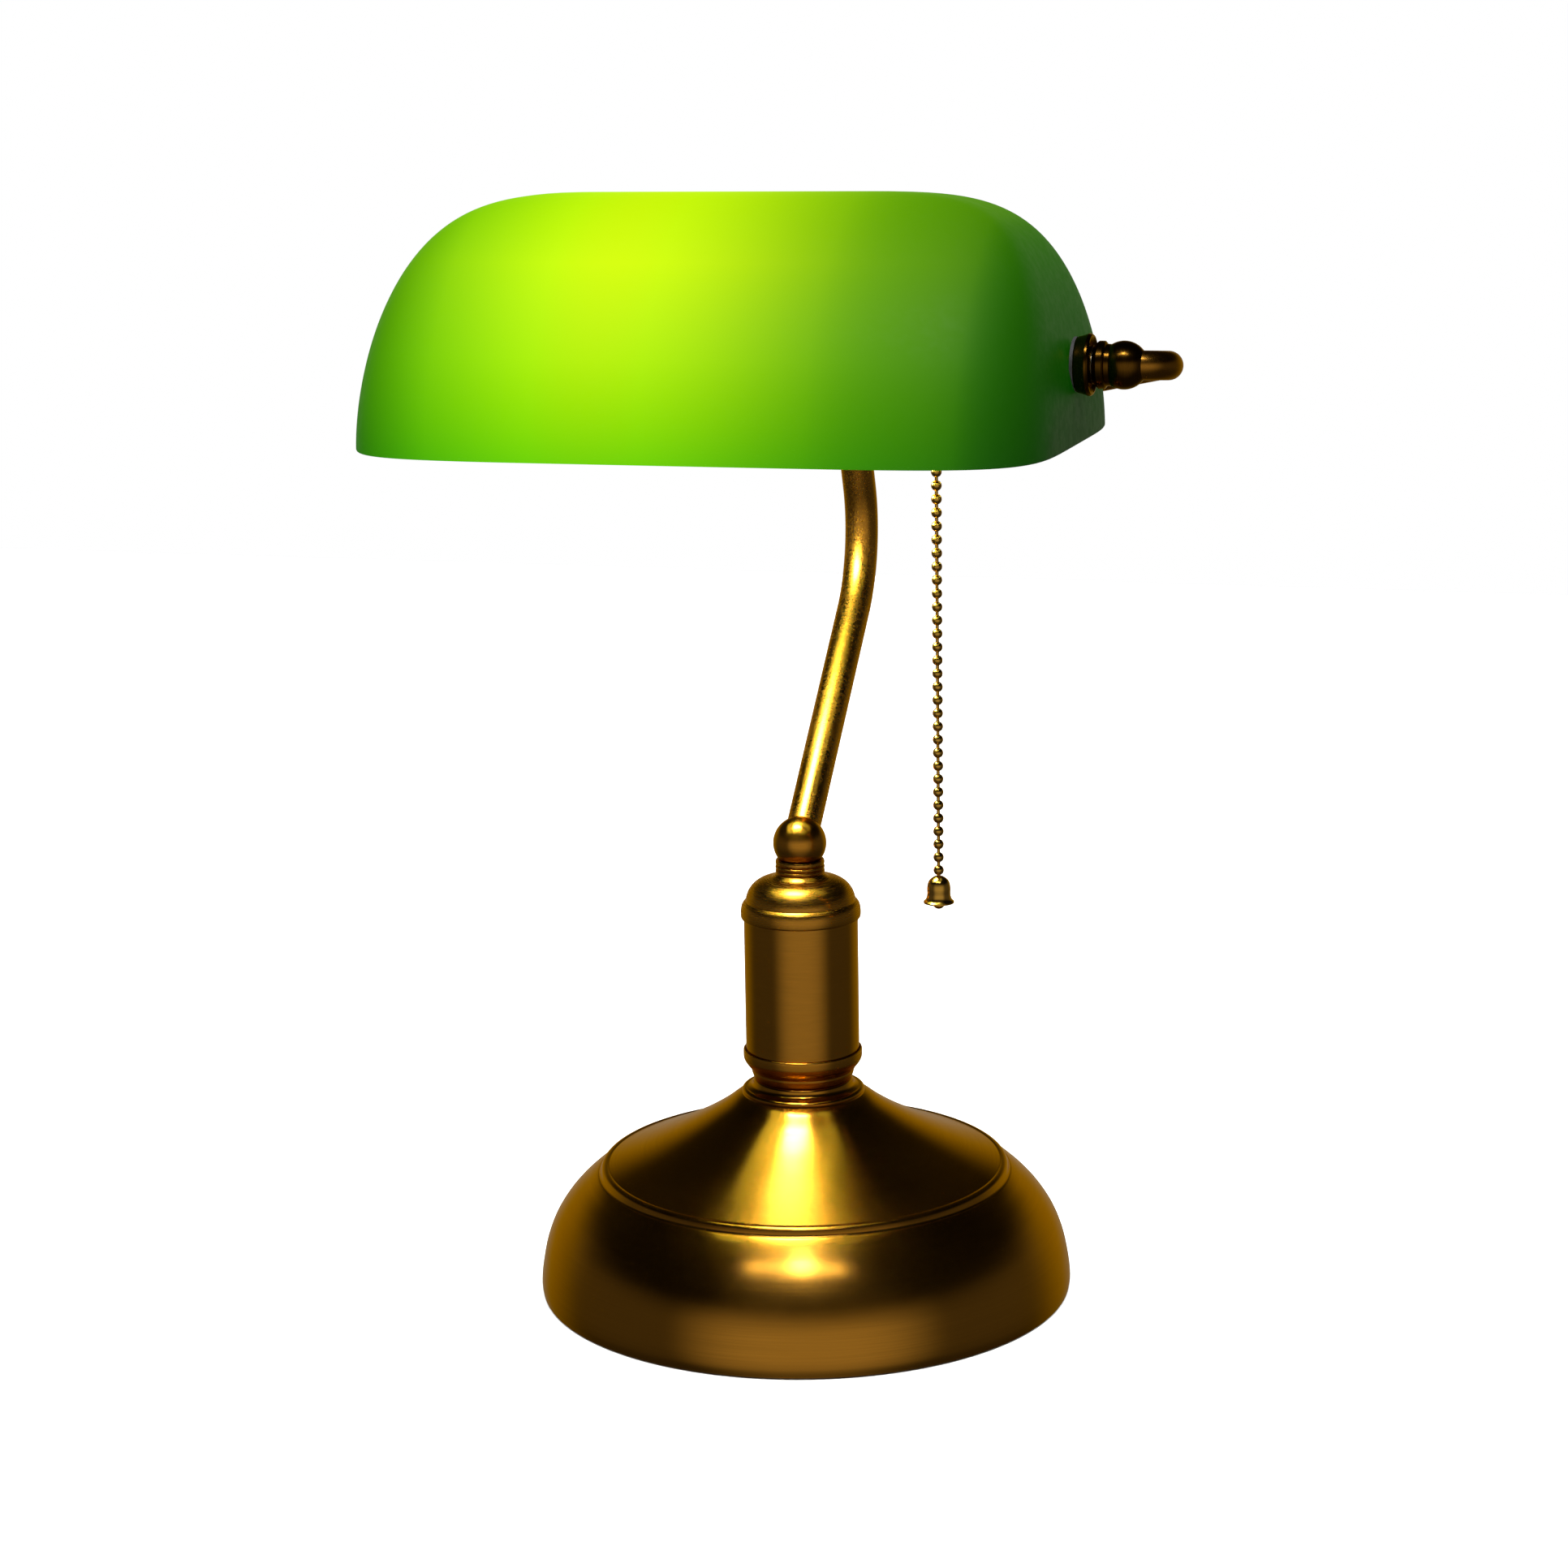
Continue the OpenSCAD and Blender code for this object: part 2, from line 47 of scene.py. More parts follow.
# Sizes in millimetres, as in the CAD: the shade's axis, then the glass
AXIS_Y, AXIS_Z = -20, 315
GLASS_X, RIM_Z = -13, 290.4
OUTER_SKIN = (223, 150, 77.6)
INNER_SKIN = (215, 142, 73.6)
SHADE_AXIS = (0, AXIS_Y * MM, AXIS_Z * MM)


# ---------------------------------------------------------------- node helpers

class Nodes:
    """A material's node tree, with short calls to add nodes."""

    def __init__(self, name):
        self.mat = bpy.data.materials.new(name)
        self.mat.use_nodes = True
        self.tree = self.mat.node_tree
        self.tree.nodes.clear()
        self.out = self.add("ShaderNodeOutputMaterial")
        self.bsdf = self.add("ShaderNodeBsdfPrincipled")
        self.link(self.bsdf.outputs[0], self.out.inputs["Surface"])
        self.coords = self.add("ShaderNodeTexCoord").outputs["Object"]

    def add(self, kind, **props):
        node = self.tree.nodes.new(kind)
        for key, value in props.items():
            setattr(node, key, value)
        return node

    def link(self, a, b):
        self.tree.links.new(a, b)

    def feed(self, socket, value):
        if isinstance(value, bpy.types.NodeSocket):
            self.link(value, socket)
        elif value is not None:
            socket.default_value = value

    def maths(self, op, a, b=None):
        node = self.add("ShaderNodeMath", operation=op)
        for i, value in enumerate((a, b)):
            self.feed(node.inputs[i], value)
        return node.outputs[0]

    def mapping(self, scale=(1, 1, 1), rot=(0, 0, 0), loc=(0, 0, 0), vec=None):
        node = self.add("ShaderNodeMapping")
        self.link(vec or self.coords, node.inputs["Vector"])
        node.inputs["Location"].default_value = loc
        node.inputs["Rotation"].default_value = rot
        node.inputs["Scale"].default_value = scale
        return node.outputs[0]

    def noise(self, scale, detail=3.0, rough=0.55, vec=None, distortion=0.0):
        node = self.add("ShaderNodeTexNoise")
        self.link(vec or self.coords, node.inputs["Vector"])
        node.inputs["Scale"].default_value = scale
        node.inputs["Detail"].default_value = detail
        node.inputs["Roughness"].default_value = rough
        node.inputs["Distortion"].default_value = distortion
        return node.outputs[0]

    def ramp(self, fac, stops, interp="LINEAR"):
        node = self.add("ShaderNodeValToRGB")
        node.color_ramp.interpolation = interp
        els = node.color_ramp.elements
        while len(els) < len(stops):
            els.new(0.5)
        for el, (pos, col) in zip(els, stops):
            el.position = pos
            el.color = (*col, 1) if len(col) == 3 else col
        self.link(fac, node.inputs[0])
        return node.outputs[0]

    def level(self, fac, lo, hi, out_lo, out_hi, smooth=True):
        node = self.add("ShaderNodeMapRange", interpolation_type="SMOOTHSTEP" if smooth else "LINEAR")
        self.feed(node.inputs[0], fac)
        for i, value in enumerate((lo, hi, out_lo, out_hi)):
            node.inputs[i + 1].default_value = value
        return node.outputs[0]

    def mix(self, fac, a, b, mode="MIX"):
        node = self.add("ShaderNodeMix", data_type="RGBA", blend_type=mode)
        self.feed(node.inputs[0], fac)
        for socket, value in ((node.inputs[6], a), (node.inputs[7], b)):
            self.feed(socket, (*value, 1) if isinstance(value, tuple) and len(value) == 3 else value)
        return node.outputs[2]

    def xyz(self, vec=None):
        node = self.add("ShaderNodeSeparateXYZ")
        self.link(vec or self.coords, node.inputs[0])
        return node.outputs

    def bump(self, height, strength, distance):
        node = self.add("ShaderNodeBump")
        node.inputs["Strength"].default_value = strength
        node.inputs["Distance"].default_value = distance
        self.link(height, node.inputs["Height"])
        self.link(node.outputs[0], self.bsdf.inputs["Normal"])

    def set(self, **values):
        for key, value in values.items():
            self.feed(self.bsdf.inputs[key.replace("_", " ")], value)


# ---------------------------------------------------------------- materials

def turned_brass(name, along="Z", aniso=0.6, rough=0.27, dark=1.0, origin=(0, 0, 0)):
    """Antique lacquered brass, brushed in rings round an axis. A dark factor below one darkens its colour as
    painted shade.
    """
    n = Nodes(name)
    x, y, z = n.xyz(n.mapping(loc=tuple(-v for v in origin)))
    if along == "X":
        x, y, z = y, z, x
    radius = n.maths("SQRT", n.maths("ADD", n.maths("MULTIPLY", x, x), n.maths("MULTIPLY", y, y)))
    angle = n.maths("ARCTAN2", y, x)
    ring = n.add("ShaderNodeCombineXYZ")
    n.link(n.maths("MULTIPLY", radius, 5200.0), ring.inputs[0])
    n.link(n.maths("MULTIPLY", z, 5200.0), ring.inputs[1])
    n.link(n.maths("MULTIPLY", angle, 1.6), ring.inputs[2])
    lines = n.noise(1.0, 3.0, 0.7, vec=ring.outputs[0])
    patina = n.noise(18.0, 4.0, 0.55, distortion=0.3)
    colour = n.ramp(patina, [
        (0.25, (0.43 * dark, 0.200 * dark, 0.024 * dark)),
        (0.75, (0.51 * dark, 0.244 * dark, 0.032 * dark)),
    ])
    n.set(Base_Color=n.mix(n.level(lines, 0.35, 0.65, 0.0, 0.20), colour, (0.28, 0.130, 0.012)))
    worn = n.maths("ADD", lines, patina)
    n.set(Metallic=1.0, Roughness=n.level(worn, 0.7, 1.3, rough - 0.04, rough + 0.05))
    n.set(Anisotropic=aniso, Anisotropic_Rotation=0.25, Specular_Tint=(1.0, 0.72, 0.30, 1))
    tangent = n.add("ShaderNodeTangent", direction_type="RADIAL", axis=along)
    n.link(tangent.outputs[0], n.bsdf.inputs["Tangent"])
    n.bump(lines, 0.02, 0.0001)
    return n.mat


def plain_brass(name, tint=(0.50, 0.33, 0.10), rough=0.24):
    """Antique brass without a brushed direction, for bent tubes and small parts."""
    n = Nodes(name)
    patina = n.noise(30.0, 4.0, 0.55, distortion=0.3)
    fine = n.noise(900.0, 3.0, 0.6)
    low = tuple(c * 0.80 for c in tint)
    high = tuple(min(1.0, c * 1.12) for c in tint)
    n.set(Base_Color=n.ramp(patina, [(0.3, low), (0.55, tint), (0.8, high)]))
    n.set(Metallic=1.0, Roughness=n.level(n.maths("ADD", fine, patina), 0.7, 1.3, rough - 0.04, rough + 0.05))
    n.set(Specular_Tint=(1.0, 0.72, 0.30, 1))
    n.bump(fine, 0.03, 0.0001)
    return n.mat


def steel(name, tint=(0.55, 0.55, 0.53), rough=0.35, metal=1.0):
    n = Nodes(name)
    grain = n.noise(400.0, 4.0, 0.6)
    patch = n.noise(30.0, 4.0, 0.6)
    n.set(Base_Color=n.ramp(patch, [(0.3, tuple(c * 0.7 for c in tint)), (0.7, tint)]))
    n.set(Metallic=metal, Roughness=n.level(grain, 0.3, 0.7, rough - 0.08, rough + 0.12))
    n.bump(grain, 0.15, 0.0003)
    return n.mat


def matte(name, tint, rough=0.7, scale=300.0, strength=0.3, depth=0.0005, sheen=0.0):
    n = Nodes(name)
    grain = n.noise(scale, 5.0, 0.65)
    n.set(Base_Color=n.ramp(grain, [(0.3, tuple(c * 0.65 for c in tint)), (0.7, tint)]))
    n.set(Roughness=n.level(grain, 0.3, 0.7, rough - 0.08, min(1.0, rough + 0.12)), Sheen_Weight=sheen)
    n.bump(grain, strength, depth)
    return n.mat


def green_glass(name):
    """Satin green cased glass with a painted glow: emission stands in for the bulb's light through the glass,
    brightest left of the middle where the bulb stands.
    """
    n = Nodes(name)
    x, y, z = n.xyz()
    flow = n.noise(9.0, 2.0, 0.5, distortion=0.3)
    sway = n.maths("MULTIPLY", n.maths("SUBTRACT", flow, 0.5), 0.004)
    along = n.level(n.maths("ADD", x, sway), -0.125, 0.100, 0.0, 1.0, smooth=False)
    # Painted glow along the shade: brightest left of the middle, dark at the right end
    painted_glow_stops = [
        (-125, (0.01, 0.12, 0)), (-90, (0.30, 0.68, 0)), (-35, (0.70, 1.05, 0)), (30, (0.25, 0.52, 0)),
        (75, (0.06, 0.20, 0)), (98, (0.0, 0.04, 0)),
    ]
    painted_glow_along = n.ramp(along, [((mm + 125) / 225, col) for mm, col in painted_glow_stops], "CARDINAL")
    share = n.level(z, 0.2904, 0.3680, 0.0, 1.0, smooth=False)
    # Painted glow by height: dimmer at the rim, brightest high up, a little less at the crown
    painted_glow_by_height = n.ramp(share, [
        (0.0, (0.25, 0.65, 1)), (0.4, (0.70, 0.90, 1)), (0.75, (1, 1, 1)), (1.0, (0.85, 0.92, 1)),
    ])
    n.set(Base_Color=n.mix(n.level(flow, 0.3, 0.7, 0.0, 1.0), (0.002, 0.011, 0.0004), (0.003, 0.015, 0.0005)))
    n.set(Roughness=n.level(n.noise(300.0, 3.0, 0.6), 0.3, 0.7, 0.42, 0.50))
    # The two painted glow ramps are multiplied and given to the glass as emission
    painted_glow = n.mix(1.0, painted_glow_along, painted_glow_by_height, "MULTIPLY")
    n.set(IOR=1.5, Specular_IOR_Level=0.06, Emission_Color=painted_glow, Emission_Strength=0.96)
    n.bump(n.noise(18.0, 2.0, 0.4), 0.05, 0.002)
    return n.mat


def casing_glass(name):
    """The pale inner layer of the shade."""
    n = Nodes(name)
    flow = n.noise(9.0, 2.0, 0.5)
    n.set(Base_Color=n.ramp(flow, [(0.3, (0.17, 0.20, 0.10)), (0.7, (0.20, 0.24, 0.12))]))
    n.set(Roughness=n.level(n.noise(200.0, 3.0, 0.6), 0.3, 0.7, 0.25, 0.35), IOR=1.5)
    n.bump(n.noise(18.0, 2.0, 0.4), 0.05, 0.002)
    return n.mat


def opal(name, strength):
    n = Nodes(name)
    cloud = n.noise(40.0, 3.0, 0.5)
    n.set(Base_Color=n.ramp(cloud, [(0.3, (0.92, 0.90, 0.84)), (0.7, (0.97, 0.96, 0.92))]))
    n.set(Roughness=n.level(cloud, 0.3, 0.7, 0.2, 0.3), IOR=1.5)
    n.set(Emission_Color=(1.0, 0.97, 0.74, 1), Emission_Strength=strength)
    return n.mat


# ---------------------------------------------------------------- mesh helpers

def add_mesh(name, verts, faces, mat, body, smooth_angle=35, replaces=()):
    me = bpy.data.meshes.new(name)
    me.from_pydata([Vector(v) for v in verts], [], faces)
    me.update()
    me.materials.append(mat)
    me.shade_smooth()
    me.set_sharp_from_angle(angle=math.radians(smooth_angle))
    ob = bpy.data.objects.new(name, me)
    scene.collection.objects.link(ob)
    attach(ob, body)
    if replaces:
        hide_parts(*replaces)
    return ob


def catmull(p, k=6):
    """A smooth line through the points."""
    out = []
    for i in range(len(p) - 1):
        a, b, c, d = p[max(i - 1, 0)], p[i], p[i + 1], p[min(i + 2, len(p) - 1)]
        for j in range(k):
            t = j / k
            out.append(tuple(0.5 * (2 * q + (r - o) * t + (2 * o - 5 * q + 4 * r - s) * t * t
                                    + (3 * q - o - 3 * r + s) * t ** 3) for o, q, r, s in zip(a, b, c, d)))
    return out + [tuple(p[-1])]


def lathe(profile, sides=160):
    """Vertices and faces of a closed profile of (radius, height) in millimetres, turned about Z."""
    verts, rows = [], []
    for r, z in profile:
        if r < 1e-6:
            rows.append([len(verts)] * sides)
            verts.append((0, 0, z * MM))
        else:
            rows.append(list(range(len(verts), len(verts) + sides)))
            turns = [2 * math.pi * i / sides for i in range(sides)]
            verts += [(r * MM * math.cos(a), r * MM * math.sin(a), z * MM) for a in turns]
    faces = []
    for a, b in zip(rows, rows[1:] + rows[:1]):
        if a[0] == a[1] and b[0] == b[1]:
            continue
        for i in range(sides):
            j = (i + 1) % sides
            quad = [a[i], a[j], b[j], b[i]]
            face = [v for k, v in enumerate(quad) if v not in quad[:k]]
            if len(face) > 2:
                faces.append(face[::-1])
    return verts, faces


def placed(verts, matrix):
    return [matrix @ Vector(v) for v in verts]


TO_X = Matrix(((0, 0, 1), (0, 1, 0), (-1, 0, 0))).to_4x4()


def sweep(points, radius, sides=48):
    """A closed tube along points in millimetres, with evenly turned rings."""
    pts = [Vector(p) for p in points]
    verts, faces = [], []
    normal = None
    for i, p in enumerate(pts):
        t = (pts[min(i + 1, len(pts) - 1)] - pts[max(i - 1, 0)]).normalized()
        if normal is None:
            normal = t.orthogonal().normalized()
        normal = (normal - t * normal.dot(t)).normalized()
        side = t.cross(normal)
        verts += [(p + radius * (math.cos(a) * normal + math.sin(a) * side)) * MM
                  for a in (2 * math.pi * k / sides for k in range(sides))]
    for i in range(len(pts) - 1):
        for k in range(sides):
            m = (k + 1) % sides
            faces.append([i * sides + k, i * sides + m, (i + 1) * sides + m, (i + 1) * sides + k])
    faces.append(list(range(sides))[::-1])
    faces.append([(len(pts) - 1) * sides + k for k in range(sides)])
    return verts, faces


def rounded_path(points, bends, start, end, steps=28):
    """The middle line of a bent tube: straight runs joined by round bends."""
    p = [Vector(v) for v in points]
    out = [p[0] + start * (p[1] - p[0]).normalized()]
    for i in range(1, len(p) - 1):
        u1 = (p[i] - p[i - 1]).normalized()
        u2 = (p[i + 1] - p[i]).normalized()
        turn = u1.angle(u2)
        cut = bends[i - 1] * math.tan(turn / 2)
        m = u1.cross(u2).normalized().cross(u1)
        centre = p[i] - cut * u1 + bends[i - 1] * m
        out += [centre + bends[i - 1] * (math.sin(turn * k / steps) * u1 - math.cos(turn * k / steps) * m)
                for k in range(steps + 1)]
    out.append(p[-1] - end * (p[-1] - p[-2]).normalized())
    fine = []
    for a, b in zip(out, out[1:]):
        n = max(1, int((b - a).length / 6))
        fine += [a.lerp(b, k / n) for k in range(n)]
    return fine + [out[-1]]


# ---------------------------------------------------------------- the lamp

brass_z = turned_brass("brass_turned", aniso=0.55, rough=0.20)
brass_cup = turned_brass("brass_cup", aniso=0.3, rough=0.25)
# Painted shade: this copy of the turned brass is darkened to 0.18 for the parts on the shade's axis
brass_x_painted_shade = turned_brass("brass_turned_x_painted_shade", along="X", aniso=0.4, rough=0.22, origin=SHADE_AXIS, dark=0.18)
brass_tube = plain_brass("brass_tube", tint=(0.52, 0.245, 0.030), rough=0.27)
# Painted shade: a darker copy of the tube brass, used for the side tube
brass_tube_painted_shade = plain_brass("brass_tube_end_painted_shade", tint=(0.34, 0.155, 0.020), rough=0.27)
brass_small = plain_brass("brass_chain", tint=(0.62, 0.36, 0.07), rough=0.2)
steel_mat = steel("zinc_steel")
iron_mat = steel("black_iron", tint=(0.08, 0.08, 0.08), rough=0.6, metal=0.6)
felt_mat = matte("felt", (0.035, 0.060, 0.040), rough=0.9, scale=700.0, strength=0.8, depth=0.001, sheen=0.3)
rubber_mat = matte("black_rubber", (0.025, 0.025, 0.025), rough=0.55)
fibre_mat = matte("fibre", (0.26, 0.16, 0.09), rough=0.75)
phenolic_mat = matte("phenolic", (0.05, 0.045, 0.045), rough=0.3, strength=0.08)
contact_mat = plain_brass("contact_brass", tint=(0.78, 0.58, 0.28), rough=0.2)
cap_mat = steel("bulb_metal", tint=(0.75, 0.75, 0.74), rough=0.28)
opal_mat = opal("opal_bulb", 80.0)
glass_mat = green_glass("green_glass")
casing_mat = casing_glass("glass_casing")

by_slot = {
    "felt": felt_mat, "steel": steel_mat, "iron": iron_mat, "aged_brass": brass_z, "chain_brass": brass_small,
    "rubber": rubber_mat, "green_glass": glass_mat, "opal": opal_mat, "cap_metal": cap_mat,
    "fibre": fibre_mat, "phenolic": phenolic_mat, "contact": contact_mat,
}
# The parts on the shade's axis take the turned brass copy with painted shade
on_x = {"end_ball", "end_collar", "outer_flange", "shade_ring_nut", "holder_cap", "holder_shell"}
for part in frame["record"]["subparts"]:
    node = frame["nodes"][part["node"]]
    mat = brass_x_painted_shade if part["node"] in on_x else by_slot[part["material_slot"]]
    node.data.materials.clear()
    node.data.materials.append(mat)
    node.data.shade_smooth()
    node.data.set_sharp_from_angle(angle=math.radians(32))

# Base shell: the same outline as the CAD, with finer curves and rounded beads
collar = catmull([
    (15.2, 72.6), (16.2, 72.5), (16.7, 71.9), (16.8, 71.1), (17.4, 70.1), (18.7, 69.5), (19.7, 69.45),
    (20.4, 69.0), (20.6, 68.4), (20.4, 67.9),
], 4)
cone = catmull([
    (20.6, 67.5), (23, 66.2), (28, 62.4), (35, 57.9), (42, 54), (49, 50.5), (56, 47.3), (62, 44.8),
    (66.4, 43.05),
], 8)
step = catmull([
    (66.4, 43.05), (67.1, 43.15), (67.9, 43.0), (68.6, 42.5), (69.0, 41.6), (69.3, 40.7), (69.7, 40.25),
], 4)
skirt = catmull([
    (69.7, 40.25), (70.6, 39.8), (73.2, 37.8), (77.6, 33.8), (81.7, 29), (85.4, 23), (88, 16),
    (89.5, 8.5), (90, 3.5), (89.7, 0.6),
], 8)
inner = [(r - 1.4, z - 1.4) for r, z in reversed(cone + skirt) if z > 4]
outer = [(5.2, 72.6)] + collar + cone[:-1] + step[:-1] + skirt
shell_outline = outer + [(88.4, 0.6)] + inner + [(15, 71.2), (5.2, 71.2)]
verts, faces = lathe(shell_outline, 240)
add_mesh("shell_spun", verts, faces, brass_z, "base", replaces=["base_shell"])

cup = [(5.2, 72.6)] + catmull([
    (15.8, 72.6), (16.6, 73.2), (17.0, 74.2), (17.3, 75.2), (17.2, 75.7), (17.5, 76.2), (18.4, 77.2),
    (19.4, 78.6), (19.9, 79.7), (20.0, 80.8), (20.0, 82.2), (19.85, 82.75), (19.5, 82.9), (19.3, 82.6),
], 4)
cup += [(19.3, 80.2), (15, 80.2), (15, 76), (5.2, 76)]
verts, faces = lathe(cup)
add_mesh("cup_spun", verts, faces, brass_cup, "base", replaces=["column_cup"])

cap = catmull([
    (19.3, 128.3), (19.7, 128.2), (20.0, 128.5), (20.1, 129.2), (20.1, 130.4), (19.9, 131.8),
    (19.5, 132.9), (18.9, 133.6), (18.45, 133.95),
], 4)
cap += catmull([
    (18.35, 134.2), (18.1, 135.6), (17.3, 137.5), (15.9, 139.3), (13.9, 140.7), (11.9, 141.4), (9.6, 141.8),
], 6)
cap += [(6.2, 141.8), (6.2, 140.4), (10, 140.4), (15, 138), (17, 134), (17, 129.6), (19.3, 129.6)]
verts, faces = lathe(cap)
add_mesh("cap_spun", verts, faces, brass_cup, "base", replaces=["column_cap"])

neck = catmull([
    (9.8, 141.8), (9.1, 142.2), (8.3, 142.9), (7.9, 143.4), (8.2, 143.8), (8.2, 144.4), (7.75, 144.8),
    (8.2, 145.2), (8.2, 145.8), (7.75, 146.2), (8.15, 146.6), (8.15, 147.5), (7.9, 148.0),
], 4)
neck += [(7.45, 148.0), (6.6, 147.15), (5.7, 146.3), (5.0, 145.8), (5.0, 138.6), (6.1, 138.6), (6.1, 141.8)]
verts, faces = lathe(neck)
add_mesh("neck_spun", verts, faces, brass_cup, "base", replaces=["neck_collar"])

# Arm tubes, smooth through their bends
arm_line = rounded_path([(0, 0, 153.5), (0, 89, 238), (0, 72, 284)], [39], 4, 4)
verts, faces = sweep(arm_line, 5.7)
add_mesh("arm_drawn", verts, faces, brass_tube, "arm", replaces=["arm_tube"])
side_line = rounded_path([(0, 72, 284), (109, 76, 306), (126, -20, 315), (112.2, -20, 315)], [16, 9], 6, 2.5)
verts, faces = sweep(side_line, 4.55)
add_mesh("side_drawn", verts, faces, brass_tube_painted_shade, "arm", replaces=["side_tube"])


# Glass: the CAD's trough, with a polished rim and smooth skins
def trough_point(skin, s, a, inset=0.0):
    """A point of a skin of the glass, at the share s of its height and the angle a."""
    length, depth, height = skin
    ca, sa = math.cos(a), math.sin(a)
    k = (abs(ca) ** 5.64 + abs(sa) ** 5.64) ** (-1 / 5.64)
    la = length / 2 * (1 - s ** 1.82) ** (1 / 7.35) - inset
    wa = depth / 2 * (1 - s ** 1.7) ** (1 / 1.8) - inset
    return (GLASS_X + la * k * ca, AXIS_Y + wa * k * sa, RIM_Z + height * s)


def rim_ring(skin, angles, inset, lift):
    return [tuple(v + d for v, d in zip(trough_point(skin, 0, a, inset), (0, 0, lift))) for a in angles]


def trough():
    """Rings of the glass from the inner top down to the round rim and up to the outer top."""
    sides = 240
    quarter = sides // 4
    angles = [math.pi / 2 * (q + i / quarter) for q in range(4) for i in range(quarter)]
    levels = [math.sin(math.pi / 2 * (i / 56)) ** 1.35 for i in range(56)]
    levels = [s for s in levels if s < 0.9993]
    rings = [[trough_point(INNER_SKIN, s, a) for a in angles] for s in reversed(levels)]
    first_inner = len(rings)
    rim = 1.1
    turns = [math.pi / 2 * k / 8 for k in range(8)]
    grow = [rim * (1 - math.cos(t)) for t in turns]
    shrink = [rim * (1 - math.sin(t)) for t in turns]
    rings += [rim_ring(INNER_SKIN, angles, -g, s) for g, s in zip(grow[1:], shrink[1:])]
    rings += [rim_ring(OUTER_SKIN, angles, s, g) for g, s in zip(grow, shrink)]
    rings += [[trough_point(OUTER_SKIN, s, a) for a in angles] for s in levels if s * OUTER_SKIN[2] > rim]
    verts = [tuple(c * MM for c in p) for ring in rings for p in ring]
    n = len(angles)
    faces = []
    for j in range(len(rings) - 1):
        for i in range(n):
            m = (i + 1) % n
            faces.append([j * n + i, (j + 1) * n + i, (j + 1) * n + m, j * n + m][::-1])
    faces.append(list(range(n)))
    faces.append([(len(rings) - 1) * n + i for i in range(n)][::-1])
    return verts, faces, first_inner * n


verts, faces, n_inner = trough()
glass = add_mesh("glass_trough", verts, faces, glass_mat, "shade", smooth_angle=50,
                 replaces=["shade_glass"])
glass.data.materials.append(casing_mat)
for poly in glass.data.polygons:
    if all(v < n_inner for v in poly.vertices):
        poly.material_index = 1

boss = [(7.2, 91.8), (9.9, 91.8), (10.4, 92.3), (10.4, 96.1), (9.9, 96.6), (7.2, 96.6)]
verts, faces = lathe(boss, 96)
to_axis = Matrix.Translation(SHADE_AXIS) @ TO_X.inverted()
add_mesh("glass_boss", placed(verts, to_axis), faces, glass_mat, "shade")

# ---------------------------------------------------------------- floor, light and camera

floor_mat = matte("floor_paper", (0.93, 0.93, 0.92), rough=0.8, scale=60.0, strength=0.0)
floor_ramp = [nd for nd in floor_mat.node_tree.nodes if nd.type == "VALTORGB"][0]
floor_ramp.color_ramp.elements[0].color = (0.90, 0.90, 0.895, 1)
floor_mesh = bpy.data.meshes.new("floor")
floor_mesh.from_pydata([(-1.5, -1.5, 0), (1.5, -1.5, 0), (1.5, 1.5, 0), (-1.5, 1.5, 0)], [], [(0, 1, 2, 3)])
floor_mesh.materials.append(floor_mat)
floor = bpy.data.objects.new("floor", floor_mesh)
scene.collection.objects.link(floor)
floor.visible_glossy = False

world = bpy.data.worlds.new("studio")
world.use_nodes = True
tree = world.node_tree
room = tree.nodes["Background"]
direction = tree.nodes.new("ShaderNodeSeparateXYZ")
tree.links.new(tree.nodes.new("ShaderNodeTexCoord").outputs["Generated"], direction.inputs[0])


def world_maths(op, a, b):
    node = tree.nodes.new("ShaderNodeMath")
    node.operation = op
    for i, value in enumerate((a, b)):
        if isinstance(value, bpy.types.NodeSocket):
            tree.links.new(value, node.inputs[i])
        else:
            node.inputs[i].default_value = value
    return node.outputs[0]


def world_fade(fac, lo, hi, out_lo, out_hi):
    node = tree.nodes.new("ShaderNodeMapRange")
    node.interpolation_type = "SMOOTHSTEP"
    tree.links.new(fac, node.inputs[0])
    for i, value in enumerate((lo, hi, out_lo, out_hi)):
        node.inputs[i + 1].default_value = value
    return node.outputs[0]


# The room that the metal reflects: lighter to the front and behind, dark above
front = world_maths("ADD", world_maths("MULTIPLY", direction.outputs[0], 0.282),
                    world_maths("MULTIPLY", direction.outputs[1], -0.959))
ahead = world_fade(front, 0.45, 0.98, 0.10, 0.60)
behind = world_fade(front, -0.9, -0.3, 0.30, 0.0)
around = world_maths("ADD", ahead, behind)
glow_up = world_fade(direction.outputs[2], 0.10, 0.45, 1.0, 0.05)
glow_down = world_fade(direction.outputs[2], -0.6, -0.1, 0.45, 1.0)
by_slope = world_maths("MULTIPLY", glow_up, glow_down)
tree.links.new(world_maths("MULTIPLY", around, by_slope), room.inputs[1])
room.inputs[0].default_value = (1.0, 0.90, 0.72, 1)
white = tree.nodes.new("ShaderNodeBackground")
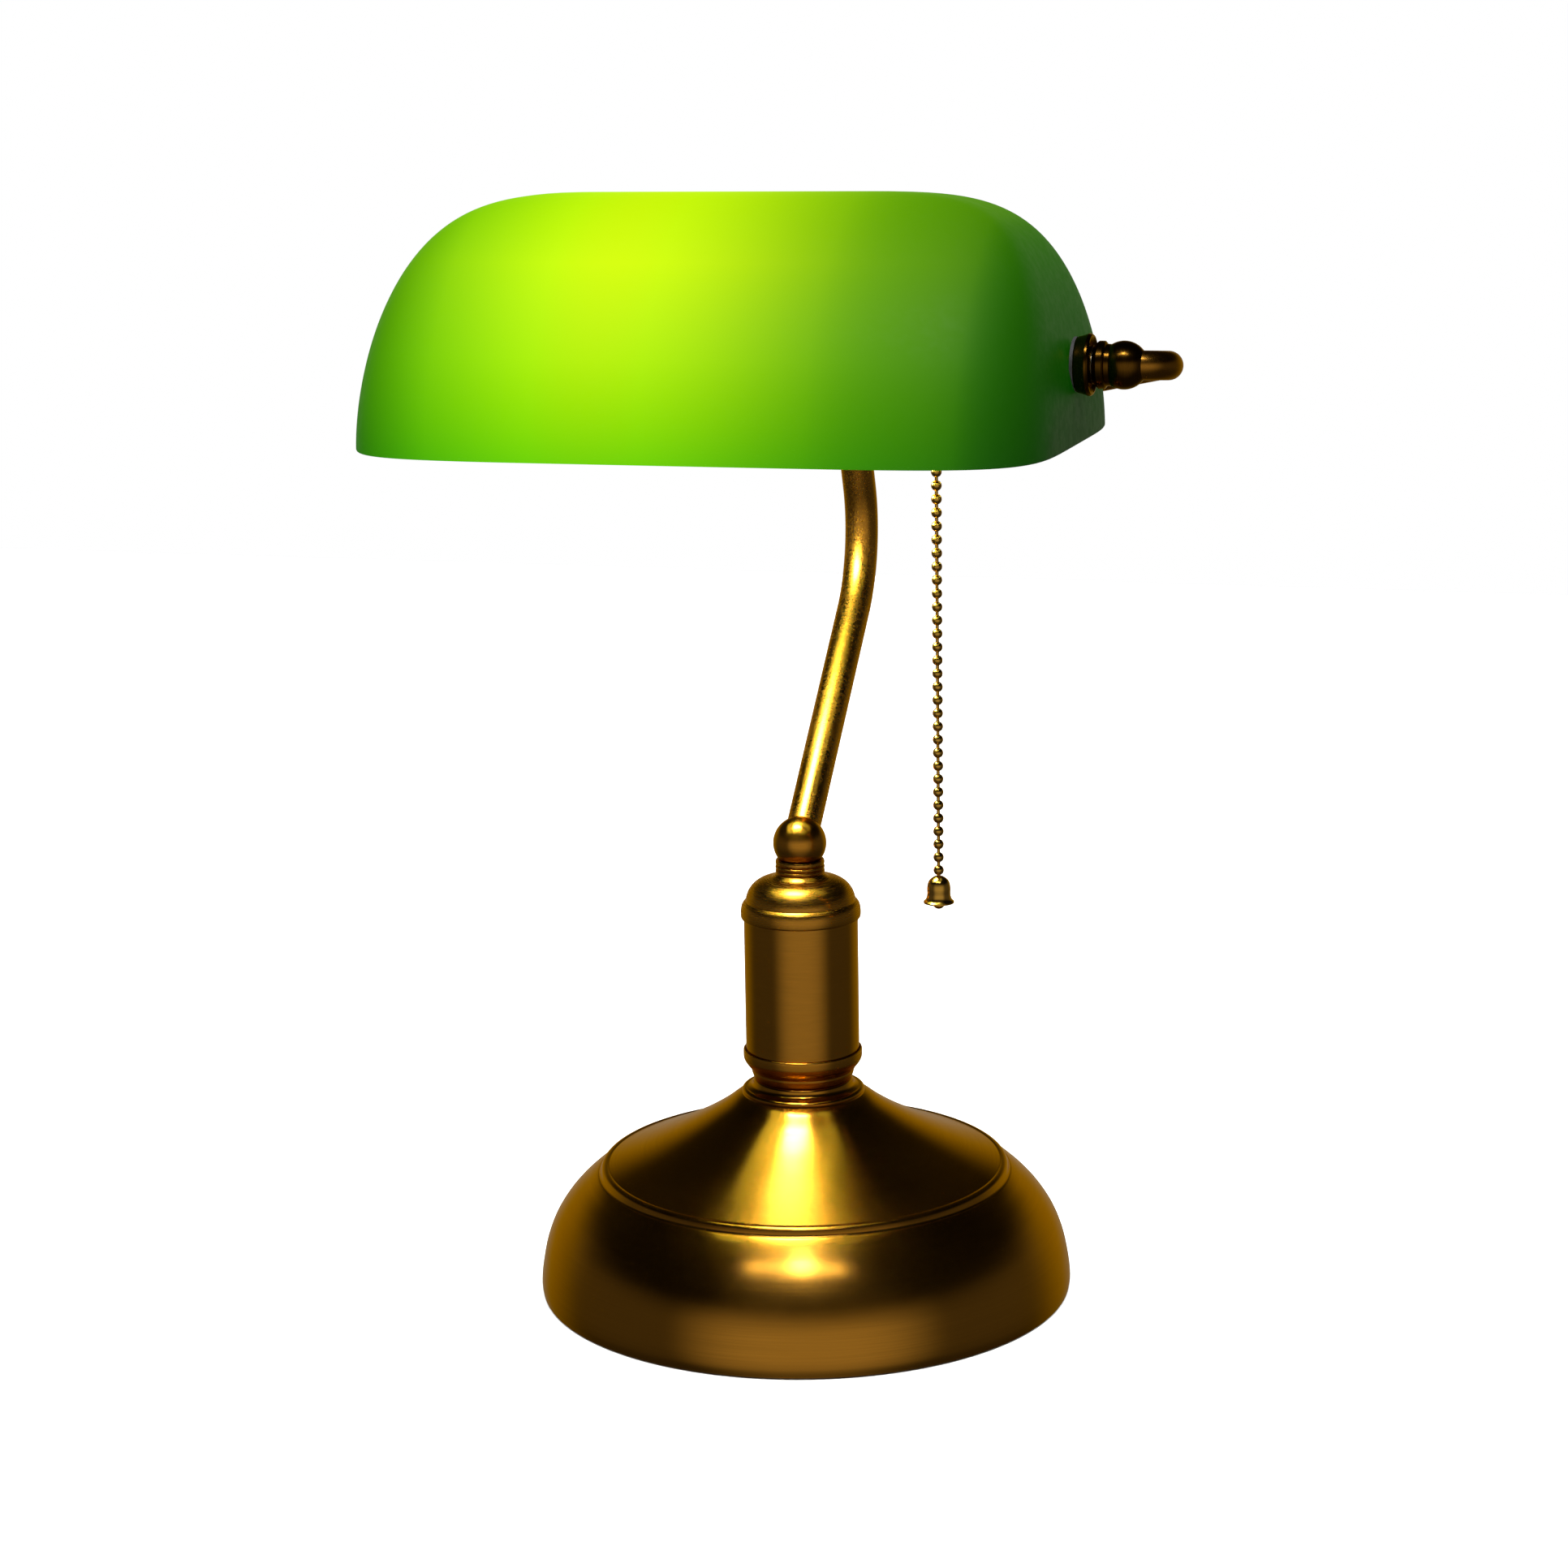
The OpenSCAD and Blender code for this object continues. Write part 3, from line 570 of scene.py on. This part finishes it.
pick = tree.nodes.new("ShaderNodeMixShader")
tree.links.new(tree.nodes.new("ShaderNodeLightPath").outputs["Is Camera Ray"], pick.inputs[0])
tree.links.new(room.outputs[0], pick.inputs[1])
tree.links.new(white.outputs[0], pick.inputs[2])
tree.links.new(pick.outputs[0], tree.nodes["World Output"].inputs[0])
white.inputs[0].default_value = (1, 1, 1, 1)
scene.world = world


def area(name, loc, target, size, power, colour=(1, 1, 1), size_y=None):
    data = bpy.data.lights.new(name, "AREA")
    data.shape = "RECTANGLE"
    data.size = size
    data.size_y = size_y or size
    data.energy = power
    data.color = colour
    ob = bpy.data.objects.new(name, data)
    ob.location = loc
    ob.rotation_euler = (Vector(target) - Vector(loc)).to_track_quat("-Z", "Y").to_euler()
    scene.collection.objects.link(ob)
    return ob


overhead = area("overhead", (0, 0, 3.0), (0, 0, 0), 5.0, 420)
overhead.visible_glossy = False
area("front_top", (0.14, -0.62, 1.5), (0.02, -0.08, 0.03), 0.16, 4.5, size_y=0.16)
area("front_wide", (0.10, -0.66, 1.42), (0.02, -0.08, 0.03), 0.90, 3.0, size_y=0.12)

yaw, pitch, roll, turn = (math.radians(v) for v in (-0.2566, 12.42, 0.914, 16.4))
forward = Vector((math.sin(yaw) * math.cos(pitch), math.cos(yaw) * math.cos(pitch), -math.sin(pitch)))
right = forward.cross(Vector((0, 0, 1))).normalized()
up = right.cross(forward)
cam_x = math.cos(roll) * right - math.sin(roll) * up
cam_y = math.sin(roll) * right + math.cos(roll) * up
spin = Matrix.Rotation(turn, 3, "Z")
axes = [spin @ cam_x, spin @ cam_y, spin @ -forward]
cam_data = bpy.data.cameras.new("camera")
cam_data.lens = 77.85
cam_data.sensor_width = 36
cam = bpy.data.objects.new("camera", cam_data)
scene.collection.objects.link(cam)
rot = Matrix((axes[0], axes[1], axes[2])).transposed().to_4x4()
cam.matrix_world = Matrix.Translation(spin @ Vector((0, -1.0969, 0)) + Vector((0, 0, 0.4151))) @ rot
cam_data.clip_end = 50
scene.camera = cam
